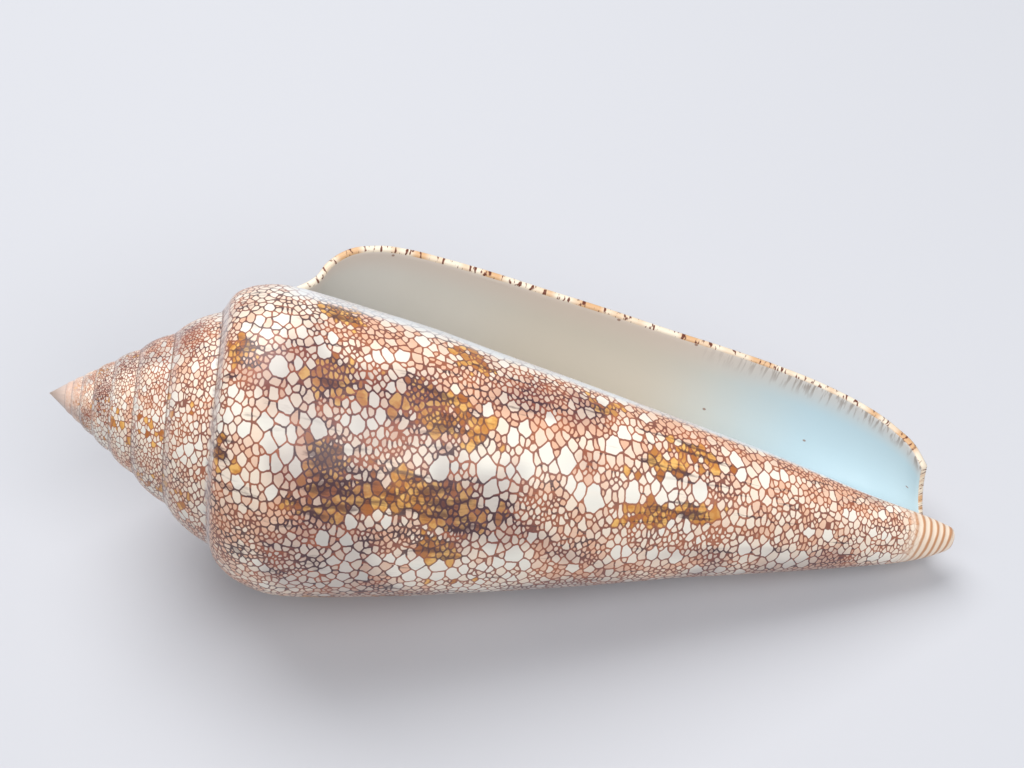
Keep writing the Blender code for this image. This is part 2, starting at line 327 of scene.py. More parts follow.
def outline_knots():
    """Distances of the outline's rows from the suture, measured half a turn on."""
    steps = [math.dist(a, b) for a, b in zip(OUTLINE_HALF[:-1], OUTLINE_HALF[1:])]
    return np.cumsum([0.0, FIRST_KNOT] + steps)


def row_stations(knots):
    body = int(round((knots[-1] - knots[CORE_ROW]) / BODY_CELL))
    return np.concatenate([
        np.linspace(0, knots[RIDGE_ROW], RIDGE_CELLS + 1)[:-1],
        np.linspace(knots[RIDGE_ROW], knots[CORE_ROW], FOOT_CELLS + 1)[:-1],
        np.linspace(knots[CORE_ROW], knots[-1], body + 1)])


def curve_weights(knots, stations):
    """Weights that carry points at the knots to a smooth curve at the stations."""
    count, gap = len(knots), np.diff(knots)
    slope = np.zeros((count, count))
    for k in range(1, count - 1):
        a, b = gap[k - 1], gap[k]
        slope[k, k - 1:k + 2] = [-b / (a * (a + b)), (b - a) / (a * b), a / (b * (a + b))]
    slope[0, :2] = [-1 / gap[0], 1 / gap[0]]
    slope[-1, -2:] = [-1 / gap[-1], 1 / gap[-1]]
    weights = np.zeros((len(stations), count))
    for i, at in enumerate(stations):
        k = min(int(np.searchsorted(knots, at, side="right")) - 1, count - 2)
        t, h = (at - knots[k]) / gap[k], gap[k]
        weights[i, k] += 2 * t ** 3 - 3 * t ** 2 + 1
        weights[i, k + 1] += 3 * t ** 2 - 2 * t ** 3
        weights[i] += h * ((t ** 3 - 2 * t ** 2 + t) * slope[k] + (t ** 3 - t ** 2) * slope[k + 1])
    return weights


def one_turn():
    """Growth angles of one full turn, one of them just where the front margin ends."""
    angles = [round(-FINE_TURN * k, 4) for k in range(round(360 / FINE_TURN))]
    nearest = min(range(len(angles)), key=lambda k: abs(angles[k] + MARGIN_DEPTH))
    angles[nearest] = float(-MARGIN_DEPTH)
    return angles


KNOTS = outline_knots()
ROWS = row_stations(KNOTS)
WEIGHTS = curve_weights(KNOTS, ROWS)
RIDGE_AT = RIDGE_CELLS
CORE_AT = RIDGE_CELLS + FOOT_CELLS
OLDEST = -360.0 * (SPIRE_TURNS + 1)
COLUMNS = np.array(sorted([a - 360.0 * n for n in range(SPIRE_TURNS + 1) for a in one_turn()]
                          + [OLDEST]))
BODY_FROM = int(np.searchsorted(COLUMNS, -360.0 - NEARLY))
SLOT_COLUMNS = np.array(sorted(
    [a for a in one_turn() if a >= -MARGIN_DEPTH]
    + list(np.arange(-SLOT_DEPTH, -MARGIN_DEPTH, COARSE_TURN))))


def outer_columns(turns, first, last):
    """Points of the outer face, for whole outlines or for their first or last rows."""
    rows = [r for r in range(LAST_ROW + 1)
            if first - NEARLY <= KNOTS[r] <= last + NEARLY]
    keep = (ROWS >= first - NEARLY) & (ROWS <= last + NEARLY)
    weights = curve_weights(KNOTS[rows], ROWS[keep])
    return np.array([weights @ np.array([outer_point(t, r) for r in rows]) for t in turns])


def rest(points, shift):
    """Dip the front end as the shell lies, move it and turn it to metres."""
    dip = math.radians(DIP)
    x = points[..., 0] * math.cos(dip) + points[..., 2] * math.sin(dip)
    z = -points[..., 0] * math.sin(dip) + points[..., 2] * math.cos(dip)
    turned = np.stack([x, points[..., 1], z], axis=-1)
    return (turned - shift) * MM


def shell_sheets():
    """The point grids of all sheets, in millimetres along the shell's axis."""
    full = ROWS[-1]
    ridges = outer_columns(COLUMNS[:BODY_FROM + 1], 0, KNOTS[RIDGE_ROW])
    body = np.array([WEIGHTS @ np.array([outer_point(t, r) for r in range(LAST_ROW + 1)])
                     for t in COLUMNS[BODY_FROM:]])
    # One outline at the start of the last turn serves both the spire and the body.
    ridges[-1] = body[0, :RIDGE_AT + 1]
    for k, turn in enumerate(COLUMNS[BODY_FROM:]):
        # The suture of the last turn lies on the ridge of the turn before it.
        older = int(np.argmin(np.abs(COLUMNS - (turn - 360))))
        body[k, 0] = ridges[older, -1]
    core_sheet = outer_columns(SLOT_COLUMNS - 360, KNOTS[CORE_ROW], full)
    core_sheet[-1] = body[0, CORE_AT:]
    wall = np.array([WEIGHTS @ np.array([inner_point(t, r) for r in range(LAST_ROW + 1)])
                     for t in SLOT_COLUMNS])
    wall[:, 0] = core_sheet[:, 0]
    for k, turn in enumerate(SLOT_COLUMNS):
        if turn <= -MARGIN_DEPTH:
            wall[k, -1] = core_sheet[k, -1]
    return ridges, body, core_sheet, wall


def rim_sheet(body, wall):
    """The rounded edge: down the lip, then back along the front margin."""
    last = COLUMNS[BODY_FROM:]
    margin = [k for k in range(len(last)) if last[k] >= -MARGIN_DEPTH]
    inner = [int(np.argmin(np.abs(SLOT_COLUMNS - last[k]))) for k in margin]
    out = np.concatenate([body[-1], body[margin[::-1], -1][1:]])
    inn = np.concatenate([wall[-1], wall[inner[::-1], -1][1:]])
    growth = np.concatenate([body[-1] - body[-2],
                             (body[margin[::-1], -1] - body[np.array(margin[::-1]) - 1, -1])[1:]])
    growth /= np.linalg.norm(growth, axis=1)[:, None]
    # The rim bulges along the growth, and over its last four points more and more forwards.
    ahead = smooth((ROWS - KNOTS[LAST_ROW - 4]) / (KNOTS[LAST_ROW] - KNOTS[LAST_ROW - 4]))
    ahead = np.concatenate([ahead, np.ones(len(margin) - 1)])
    keep = np.concatenate([np.full(len(ROWS), 0.5), np.linspace(0.5, 1.0, len(margin) - 1)])
    push = growth * (1 - ahead * keep)[:, None] + ahead[:, None] * [1, 0, 0]
    push *= (RIM_ROUND * np.linalg.norm(out - inn, axis=1) / np.linalg.norm(push, axis=1))[:, None]
    across = np.linspace(0, np.pi, FOOT_CELLS + 1)
    middle = (out + inn) / 2
    rim = (middle[:, None] + (out - middle)[:, None] * np.cos(across)[None, :, None]
           + push[:, None] * np.sin(across)[None, :, None])
    # The rim starts on the shoulder, under the foot of the lip, and ends at the core.
    rim[0] = body[0, RIDGE_AT:CORE_AT + 1]
    rim[-1] = out[-1] + (inn[-1] - out[-1]) * np.linspace(0, 1, FOOT_CELLS + 1)[:, None]
    rim[:, 0], rim[:, -1] = out, inn
    return rim


def cap(ring, steps, centre):
    """A sheet that closes a ring: rings that close in, and the point at the middle."""
    rows = [ring]
    for forward, size in steps:
        rows.append(np.array([[x + (centre[0] - x) * forward, y * size, z * size]
                              for x, y, z in ring]))
    rows.append(np.repeat([centre], len(ring), axis=0))
    return np.array(rows).transpose(1, 0, 2)


def closing_sheets(ridges, body, core_sheet, wall, rim):
    """The front tip, the apex and the end of the slot, which close the shell."""
    last = COLUMNS[BODY_FROM:]
    ring = [k for k in range(len(last)) if last[k] <= -MARGIN_DEPTH]
    front = [k for k in range(len(SLOT_COLUMNS)) if SLOT_COLUMNS[k] >= -MARGIN_DEPTH]
    tip_ring = np.concatenate([core_sheet[front, -1], body[ring[1:], -1], rim[-1][1:]])
    tip = cap(tip_ring, TIP_STEPS, np.array([TIP_ALONG, 0, 0]))
    # Row 0 a full turn on lies on the ridge, so the ring of the apex closes on itself.
    first_turn = [k for k in range(len(COLUMNS)) if COLUMNS[k] <= OLDEST + 360 + NEARLY]
    apex_ring = np.concatenate([ridges[first_turn, 0], ridges[0, ::-1][1:]])
    apex = cap(apex_ring, [], np.array([suture(OLDEST)[0] * APEX_FORWARD, 0, 0]))
    under = np.concatenate([np.repeat(core_sheet[:1, 0], CORE_AT, axis=0), core_sheet[0]])
    return tip, apex, np.stack([under, wall[0]])


def set_in_box(sheets):
    """Lay the sheets at rest in the solid's box: front end, middle and floor agree."""
    box_low, box_high = (np.array(c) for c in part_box("cone_shell"))
    everything = np.concatenate([rest(s, np.zeros(3)).reshape(-1, 3) for s in sheets])
    low, high = everything.min(axis=0), everything.max(axis=0)
    shift = np.array([high[0] - box_high[0],
                      (low[1] + high[1]) / 2 - (box_low[1] + box_high[1]) / 2,
                      low[2] - box_low[2]]) / MM
    return [rest(s, shift) for s in sheets]


# The net.


class Drift:
    """Smooth seeded variation over two directions, from -1 to 1."""

    def __init__(self, rng, size_u, size_v):
        self.table = rng.uniform(-1, 1, (64, 64))
        self.size = (size_u, size_v)

    def __call__(self, u, v):
        u, v = np.asarray(u, float) / self.size[0], np.asarray(v, float) / self.size[1]
        iu, iv = np.floor(u).astype(int), np.floor(v).astype(int)
        fu, fv = smooth(u - iu), smooth(v - iv)
        t = self.table
        low = t[iu % 64, iv % 64] * (1 - fu) + t[(iu + 1) % 64, iv % 64] * fu
        high = t[iu % 64, (iv + 1) % 64] * (1 - fu) + t[(iu + 1) % 64, (iv + 1) % 64] * fu
        return low * (1 - fv) + high * fv


def unrolled(turn, row):
    """Places on the cone rolled out flat, and the direction of the cone's point there."""
    radius = OUTLINE_HALF[RIDGE_ROW - 1][1] * ratio(turn - TURN_HALF)
    angle = math.radians(360.0) / math.log(WHORL_RATIO) * radius / CONE_SLANT
    reach = CONE_SLANT + (SHOULDER_ROW - row) * np.minimum(ratio(turn + 360), 1.0)
    return np.stack([reach * np.cos(angle), reach * np.sin(angle)], axis=-1), angle


def from_cell(offset, angle):
    """An offset from a cell's middle, seen along the shell and along its growth."""
    along = offset[..., 0] * np.cos(angle) + offset[..., 1] * np.sin(angle)
    grown = offset[..., 1] * np.cos(angle) - offset[..., 0] * np.sin(angle)
    return along, grown * TALLER


def cell_distance(along, grown):
    """Distance from a cell's middle, in a measure that makes cells shields."""
    return (ROUND_PART * np.hypot(along, grown) + CORNER_PART * (np.abs(along) + np.abs(grown))
            + SHIELD * grown)


def fineness(turn, row):
    """How much finer the net is on the small old turns and towards the front."""
    return np.minimum(ratio(turn + 360), 1.0) ** 0.8 * (1 - 0.3 * smooth((row - 66) / 24))


def pack_cells(rng, maps, cell_mm):
    """Cells of many sizes that just fit beside each other: turn, row and radius."""
    side = CONE_SLANT + MAP_MARGIN
    count = int(2 * side / NET_PIXEL)
    free = np.full((count, count), FAR, np.float32)
    cells = []

    def try_cells(turn, row, radius, margin):
        middle, angle = unrolled(turn, row)
        at = ((middle + side) / NET_PIXEL).astype(int)
        for k in range(len(turn)):
            x, y = at[k]
            if free[x, y] < PACKING * radius[k]:
                continue
            cells.append((turn[k], row[k], radius[k]))
            half = int(1.7 * (radius[k] + margin) / NET_PIXEL)
            steps = np.arange(-half, half + 1)
            offset = np.stack(np.meshgrid(x + steps, y + steps, indexing="ij"), axis=-1)
            offset = (offset + 0.5) * NET_PIXEL - side - middle[k]
            window = free[x - half:x + half + 1, y - half:y + half + 1]
            near = cell_distance(*from_cell(offset, angle[k])) - radius[k]
            np.minimum(window, near, out=window)

    def scatter(number):
        # Even over the area: by angle on the cone, then by the width that the cone has there.
        first, last = (unrolled(np.array([t]), np.array([0.0]))[1][0] for t in (OLDEST, 0.0))
        angle = rng.uniform(first, last, number)
        turn = 360 * np.log(angle / last) / math.log(WHORL_RATIO)
        row = rng.uniform(0, ROWS[-1], number)
        kept = rng.uniform(0, CONE_SLANT + SHOULDER_ROW, number) < CONE_SLANT + SHOULDER_ROW - row
        kept &= (turn > -362) | (row < KNOTS[RIDGE_ROW])
        return turn[kept], row[kept]

    tents = np.array(TENTS)
    try_cells(tents[:, 0], tents[:, 1], TENT_RADIUS * tents[:, 2], LARGEST)
    turn, row = scatter(TENT_TRIES)
    zones = marking_zones(turn, row, maps)
    keep = rng.uniform(0, 1, len(turn)) < 0.05 + 0.5 * zones[:, 2]
    radius = rng.uniform(0.55, 1.0, len(turn)) * fineness(turn, row)
    try_cells(turn[keep], row[keep], radius[keep], LARGEST)
    for number, share in ROUNDS:
        turn, row = scatter(number)
        fine = 0.55 * maps[1](turn + 77, row) + 0.45 * maps[2](turn * 0.7, row)
        blotched = marking_zones(turn, row, maps)[:, 0]
        radius = USUAL_RADIUS * cell_mm * np.exp(fine + rng.normal(0, 0.16, len(turn)))
        radius *= share * fineness(turn, row) * (1 - 0.3 * blotched)
        least = SMALLEST * (0.5 + 0.5 * share) * fineness(turn, row)
        try_cells(turn, row, np.clip(radius, least, 0.8), 0.7 * share)
    return np.array(cells)


def cell_kinds(rng, cells, maps):
    """What colours each cell: 0 is a white tent, 0.5 peach, and 0.8 to 1 orange to brown."""
    turn, row, radius = cells.T
    zones = marking_zones(turn, row, maps)
    size = radius / fineness(turn, row)
    kind = rng.uniform(0.20, 0.50, len(turn)) + 0.6 * (0.40 - np.minimum(size, 0.7))
    kind += 0.22 * maps[0](turn * 1.3 + 60, row * 1.3) + 0.1 * maps[1](turn + 30, row)
    kind = np.clip(kind, 0.0, 0.64)
    kind[size > 0.62] *= 0.35
    golden = 1.3 * zones[:, 0] - 0.28
    golden += 0.5 * smooth(0.2 + 1.5 * maps[0](turn * 1.7, row + 90)) * (turn < -400)
    orange = rng.uniform(0.0, 1.0, len(turn)) < golden
    return np.where(orange & (size < 0.7), rng.uniform(0.76, 1.0, len(turn)), kind)


def cell_fields(turns, rows, column, line, cells, kinds):
    """For each face corner, its place in the cells that may show on its face."""
    middle, angle = unrolled(cells[:, 0], cells[:, 1])
    corner = unrolled(turns[column], rows[line])[0].reshape(-1, 4, 2)
    centre = corner.mean(axis=1)
    chosen = []
    for group, number in ((np.flatnonzero(cells[:, 2] >= LARGE_CELL), NEAR_LARGE),
                          (np.flatnonzero(cells[:, 2] < LARGE_CELL), NEAR_SMALL)):
        tree = KDTree(len(group))
        for number_in, k in enumerate(group):
            tree.insert((middle[k, 0], middle[k, 1], 0.0), number_in)
        tree.balance()
        found = np.array([[hit[1] for hit in tree.find_n((x, y, 0.0), number)]
                          for x, y in centre.tolist()])
        chosen.append(group[found])
    chosen = np.concatenate(chosen, axis=1)
    offset = centre[:, None] - middle[chosen]
    near = cell_distance(*from_cell(offset, angle[chosen])) - cells[chosen, 2]
    best = np.take_along_axis(chosen, np.argsort(near, axis=1)[:, :NET_SLOTS], axis=1)
    offset = corner[:, :, None] - middle[best][:, None]
    along, grown = from_cell(offset, angle[best][:, None])
    radius = np.broadcast_to(cells[best, 2][:, None], along.shape)
    # Where the net is finer, so are its lines: there every distance counts for more.
    face_turn = turns[column].reshape(-1, 4).mean(axis=1)
    face_row = rows[line].reshape(-1, 4).mean(axis=1)
    larger = fineness(face_turn, face_row)[:, None, None, None] ** -1.0
    fields = (np.stack([along, grown, radius], axis=-1) * larger).reshape(-1, NET_SLOTS, 3)
    shades = np.broadcast_to(kinds[best][:, None], along.shape).reshape(-1, NET_SLOTS)
    return fields, shades


# Meshes and what is written on them.


def sheet(name, points, turns, rows, look):
    """A grid primitive whose corners are set on the sheet's points."""
    columns, lines = points.shape[:2]
    bpy.ops.object.select_all(action="DESELECT")
    bpy.ops.mesh.primitive_grid_add(x_subdivisions=columns - 1, y_subdivisions=lines - 1,
                                    size=1, calc_uvs=True)
    grid = bpy.context.object
    grid.name = name
    mesh = grid.data
    mesh.vertices.foreach_set("co", points.transpose(1, 0, 2).reshape(-1, 3).ravel())
    index = np.empty(len(mesh.loops), np.int64)
    mesh.loops.foreach_get("vertex_index", index)
    column, line = index % columns, index // columns
    uv = np.stack([turns[column] / UV_TURN, rows[line] / UV_ROW], axis=1)
    mesh.uv_layers[0].name = "growth"
    mesh.uv_layers["growth"].data.foreach_set("uv", uv.ravel())
    mesh.polygons.foreach_set("material_index", np.full(len(mesh.polygons), look))
    return grid, column, line


def write_field(mesh, name, kind, domain, values):
    attribute = mesh.attributes.new(name, kind, domain)
    values = np.ascontiguousarray(values, np.float32).ravel()
    attribute.data.foreach_set("color" if kind == "FLOAT_COLOR" else "vector", values)


def net_maps(rng):
    """Smooth variation in three sizes, in degrees of growth and millimetres."""
    return Drift(rng, 34.0, 15.0), Drift(rng, 13.0, 6.0), Drift(rng, 5.0, 2.4)


# Orange blotches and white tents on the side that faces the light: turn, row distance
# and how far each is stretched along the shell.
BLOTCHES = [(-280, 16.5, 0.8), (-246, 16.5, 1.0), (-236, 17.0, 1.1), (-280, 27.5, 1.2),
            (-270, 30.0, 1.3), (-241, 25.5, 1.0), (-238, 29.0, 1.3), (-232, 32.0, 1.4),
            (-308, 33.0, 0.7), (-314, 17.5, 0.7), (-214, 30.5, 0.9), (-272, 58.0, 1.4),
            (-288, 62.5, 1.0), (-238, 56.5, 1.1), (-244, 62.5, 1.0), (-306, 50.0, 0.6),
            (-285, 4.5, 0.5), (-240, 3.5, 0.5)]
TENTS = [(-258, 8.5, 1.0), (-258, 15.0, 1.3), (-262, 19.5, 1.2), (-250, 29.5, 1.5),
         (-252, 35.0, 1.5), (-256, 40.0, 1.6), (-288, 15.0, 1.0), (-296, 16.0, 1.0),
         (-300, 9.5, 1.2), (-218, 16.5, 1.2), (-218, 19.5, 1.0), (-254, 6.0, 1.0),
         (-278, 9.5, 1.5), (-244, 49.0, 1.7), (-250, 54.0, 1.3), (-258, 63.0, 1.3),
         (-310, 27.0, 1.2), (-262, 45.0, 1.5), (-268, 4.0, 1.0), (-212, 40.0, 1.4)]
BLOTCH_SIZE, TENT_SIZE = (9.0, 4.2), (5.0, 1.7)
# Blotches on the side that the photograph doesn't show: row and width of three bands.
BANDS = [(16.5, 3.8), (29.0, 6.0), (59.5, 6.0)]
SEEN_TURN, SEEN_HALF = -262, 62


def marking_zones(turn, row, maps):
    """Orange blotches, dark streaks, white tents and purple clouds with painted shade on the lower
    side, from 0 to 1.
    """
    large, middle, fine = maps
    blotch, tent = np.zeros_like(turn), np.zeros_like(turn)
    ragged = 0.30 * fine(turn, row) + 0.22 * middle(turn * 3, row * 3)
    for table, size, onto in ((BLOTCHES, BLOTCH_SIZE, blotch), (TENTS, TENT_SIZE, tent)):
        for at_turn, at_row, stretch in table:
            u = (turn - at_turn) / size[0]
            v = (row - at_row) / (size[1] * stretch)
            near = np.exp(-(u * u + v * v))
            np.maximum(onto, near, out=onto)
    unseen = smooth((np.abs(turn - SEEN_TURN) - SEEN_HALF) / 12)
    for centre, spread in BANDS:
        band = np.exp(-((row - centre) / spread) ** 2)
        patchy = smooth(-0.15 + 1.9 * middle(turn + centre * 9, row * 0.6 + 40))
        blotch = np.maximum(blotch, band * patchy * unseen)
    blotch = np.clip(blotch * 1.15 + ragged * (blotch > 0.08), 0, 1)
    streak = smooth(0.15 + 1.2 * middle(turn + 400, row * 0.5) + 0.6 * blotch)
    scattered = 1.9 * middle(turn * 1.6 + 900, row * 1.7) + 0.7 * fine(turn + 300, row)
    tent = np.clip(np.maximum(tent, smooth(scattered - 0.9)), 0, 1) * (1 - 0.8 * blotch)
    # The purple clouds are partly the shell's own tint and partly painted shade: past turn -236
    # they thicken on the lower side, away from the light.
    cloud = smooth(0.45 + 1.3 * large(turn + 200, row + 60) + 0.6 * middle(turn + 500, row)
                   + 0.45 * smooth((turn + 236) / 14) + 0.25 * smooth((24 - row) / 10)
                   - 0.5 * (turn < -360))
    return np.stack([blotch, streak, tent, cloud], axis=-1)


def end_zones(name, turn, row):
    """The worn apex, the ribbed front, the ridge along the suture and a painted pale reflection
    beside the mouth.
    """
    age = turn + 360.0 / KNOTS[RIDGE_ROW] * np.minimum(row, KNOTS[RIDGE_ROW])
    worn = smooth((WORN_TURN - age) / 1000)
    front = smooth((row - RIBBED_ROW) / 4)
    band = smooth((SUTURE_BAND - row) / 0.9) * (0.4 + 0.6 * smooth((turn + 560) / 120))
    band *= name != "apex"
    # A painted reflection: a pale strip of light on the net beside the mouth.
    painted_reflection = smooth((PAINTED_REFLECTION_TURN - turn) / 9.0) * smooth((row - SHOULDER_ROW) / 3.0)
    painted_reflection *= name in ("last_turn", "core")
    return np.stack([worn, front, band, painted_reflection], axis=-1)


def write_markings(mesh, name, look, turns, rows, column, line, cells, kinds, maps):
    """Give a sheet what the net's material reads: cells by corner and zones by point."""
    if name in ("spire", "last_turn"):
        fields, shades = cell_fields(turns, rows, column, line, cells, kinds)
    else:
        # One plain cell without an edge, and the others far away.
        fields = np.zeros((len(column), NET_SLOTS, 3))
        fields[:, 1:, 0] = FAR
        shades = np.full((len(column), NET_SLOTS), 0.2)
    for k in range(NET_SLOTS):
        write_field(mesh, f"cell_{k}", "FLOAT_VECTOR", "CORNER", fields[:, k])
    for k in range(NET_SLOTS // 3):
        write_field(mesh, f"kind_{k}", "FLOAT_VECTOR", "CORNER", shades[:, 3 * k:3 * k + 3])
    turn, row = np.tile(turns, len(rows)), np.repeat(rows, len(turns))
    zones, ends = np.zeros((2, len(turn), 4))
    if look == NET_LOOK:
        zones, ends = marking_zones(turn, row, maps), end_zones(name, turn, row)
    write_field(mesh, "zones", "FLOAT_COLOR", "POINT", zones)
    write_field(mesh, "ends", "FLOAT_COLOR", "POINT", ends)


class MESH_OT_cone_shell(bpy.types.Operator):
    """Build the shell as one closed, porcelain-like mesh"""
    bl_idname = "mesh.cone_shell"
    bl_label = "Cone Shell"

    def execute(self, context):
        settings = context.scene.shell_markings
        ridges, body, core_sheet, wall = shell_sheets()
        rim = rim_sheet(body, wall)
        tip, apex, slot_end = closing_sheets(ridges, body, core_sheet, wall, rim)
        sheets = set_in_box([ridges, body, core_sheet, wall, rim, tip, apex, slot_end])
        rim_turns = np.concatenate([ROWS, ROWS[-1] + np.arange(1, len(rim) - len(ROWS) + 1)])
        tip_rows = ROWS[-1] + 0.4 * np.arange(tip.shape[1])
        places = [
            ("spire", COLUMNS[:BODY_FROM + 1], ROWS[:RIDGE_AT + 1], NET_LOOK),
            ("last_turn", COLUMNS[BODY_FROM:], ROWS, NET_LOOK),
            ("core", SLOT_COLUMNS - 360, ROWS[CORE_AT:], NET_LOOK),
            ("wall", SLOT_COLUMNS, ROWS, LIP_LOOK),
            ("rim", rim_turns, np.linspace(0, 1, FOOT_CELLS + 1), RIM_LOOK),
            ("tip", np.linspace(-360, 0, len(tip)), tip_rows, NET_LOOK),
            ("apex", np.linspace(OLDEST, OLDEST + 360, len(apex)), np.array([6.0, 6.5]),
             NET_LOOK),
            ("slot_end", np.array([-SLOT_DEPTH - 1.0, -SLOT_DEPTH]), ROWS, LIP_LOOK),
        ]

        rng = np.random.default_rng(SEED)
        maps = net_maps(rng)
        cells = pack_cells(rng, maps, settings.cell_size / MM)
        kinds = cell_kinds(rng, cells, maps)
        looks = [net_porcelain(settings), lip_porcelain(), rim_porcelain()]
        grids = []
        for points, (name, turns, rows, look) in zip(sheets, places):
            grid, column, line = sheet(name, points, turns, rows, look)
            for material in looks:
                grid.data.materials.append(material)
            write_markings(grid.data, name, look, turns, rows, column, line,
                           cells, kinds, maps)
            grids.append(grid)

        # The sheets become one closed mesh, merged where their edges meet.
        bpy.ops.object.select_all(action="DESELECT")
        for grid in grids:
            grid.select_set(True)
        shell = grids[1]
        context.view_layer.objects.active = shell
        bpy.ops.object.join()
        shell.name = "shell"
        shell.data.name = "shell"
        bpy.ops.object.mode_set(mode="EDIT")
        bpy.ops.mesh.select_all(action="SELECT")
        bpy.ops.mesh.remove_doubles(threshold=SEAM)
        bpy.ops.mesh.normals_make_consistent(inside=False)
        bpy.ops.object.mode_set(mode="OBJECT")
        bpy.ops.object.shade_smooth()
        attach(shell, "root")
        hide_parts("cone_shell")
        return {"FINISHED"}


# Materials. What each is made of sets its gloss, and its colours were matched.

FADE = {"interpolation_type": "SMOOTHSTEP"}


def new_material(name):
    """An empty material, and the one function that adds a node to it."""
    material = bpy.data.materials.new(name)
    material.use_nodes = True
    nodes, links = material.node_tree.nodes, material.node_tree.links
    nodes.clear()

    def add(kind, *inputs, output=0, **settings):
        """Add a node with its settings and links, and return one of its outputs.

        An input is a value, another node's output, or None for a socket that is left alone.
        A setting is a property of the node or, if it has none of that name, a socket.
        """
        node = nodes.new("ShaderNode" + kind)
        sockets = dict(enumerate(inputs))
        for setting, value in settings.items():
            if hasattr(node, setting):
                setattr(node, setting, value)
            else:
                sockets[setting.replace("_", " ")] = value
        for socket, value in sockets.items():
            if isinstance(value, bpy.types.NodeSocket):
                links.new(value, node.inputs[socket])
            elif value is not None:
                node.inputs[socket].default_value = value
        return node.outputs[output] if node.outputs else None

    return material, add


def coats(add, ground, layers):
    """Colours laid over a ground one after the other, each with its share from 0 to 1."""
    for share, colour in layers:
        # The mixing node's two colours are its seventh and eighth sockets.
        ground = add("Mix", share, *[None] * 5, ground, colour, data_type="RGBA", output=2)
    return ground


def growth_noise(add, uv, degrees, row_mm, detail):
    """Noise whose patches are some degrees of growth wide and some millimetres long."""
    scale = (UV_TURN / degrees, UV_ROW / row_mm, 1.0)
    return add("TexNoise", Vector=add("Mapping", Vector=uv, Scale=scale), Scale=1.0,
               Detail=detail)


def finish_porcelain(add, colour, height, roughness, depth):
    """The shell's gloss: clear and hard, a little softened by fine growth lines."""
    normal = add("Bump", Strength=0.5, Distance=depth, Height=height)
    shader = add("BsdfPrincipled", IOR=1.45, Coat_Weight=0.12, Coat_Roughness=0.15,
                 Specular_IOR_Level=0.35, Base_Color=colour, Roughness=roughness,
                 Normal=normal)
    add("OutputMaterial", Surface=shader)


def nearest_cells(add, line_mm):
    """Where the lines run, from 0 inside a cell up, and the kind of the cell at a point."""
    groups, shades = [], []
    for first in range(0, NET_SLOTS, 3):
        # How far each cell's middle is, less its radius, three to a vector.
        reach = []
        for k in range(first, first + 3):
            cell = add("Attribute", attribute_name=f"cell_{k}", output="Vector")
            flat = add("VectorMath", cell, (1.0, 1.0, 0.0), operation="MULTIPLY")
            length = add("VectorMath", flat, operation="LENGTH", output="Value")
            sides = add("VectorMath", cell, operation="ABSOLUTE")
            sides = add("VectorMath", sides, (CORNER_PART, CORNER_PART, 0.0),
                        operation="DOT_PRODUCT", output="Value")
            drawn_out = add("VectorMath", cell, (0.0, SHIELD, -1.0),
                            operation="DOT_PRODUCT", output="Value")
            sides = add("Math", sides, drawn_out, operation="ADD")
            reach.append(add("Math", length, ROUND_PART, sides, operation="MULTIPLY_ADD"))
        groups.append(add("CombineXYZ", *reach))
        shades.append(add("Attribute", attribute_name=f"kind_{first // 3}", output="Vector"))
    nearest = groups[0]
    for group in groups[1:]:
        nearest = add("VectorMath", nearest, group, operation="MINIMUM")
    x, y, z = add("SeparateXYZ", nearest).node.outputs
    nearest = add("Math", add("Math", x, y, operation="MINIMUM"), z, operation="MINIMUM")
    nearest = add("CombineXYZ", nearest, nearest, nearest)
    none, one = (0.0,) * 3, (1.0,) * 3
    sums = None
    for group, shade in zip(groups, shades):
        behind = add("VectorMath", group, nearest, operation="SUBTRACT")
        # Neighbours that are nearly as near add up, which rounds the corners of the cells.
        close = add("VectorMath", behind, (-1 / (CORNER_FILL * line_mm),) * 3, one,
                    operation="MULTIPLY_ADD")
        close = add("VectorMath", close, none, operation="MAXIMUM")
        # Only the nearest cell itself gives its kind.
        own = add("VectorMath", behind, (-OWN_ONLY,) * 3, one, operation="MULTIPLY_ADD")
        own = add("VectorMath", own, none, operation="MAXIMUM")
        parts = [add("VectorMath", a, b, operation="DOT_PRODUCT", output="Value")
                 for a, b in ((close, close), (own, shade), (own, one))]
        sums = parts if sums is None else [add("Math", total, part, operation="ADD")
                                           for total, part in zip(sums, parts)]
    crowd, kind, share = sums
    return (add("Math", crowd, 1.0, operation="SUBTRACT"),
            add("Math", kind, share, operation="DIVIDE"))


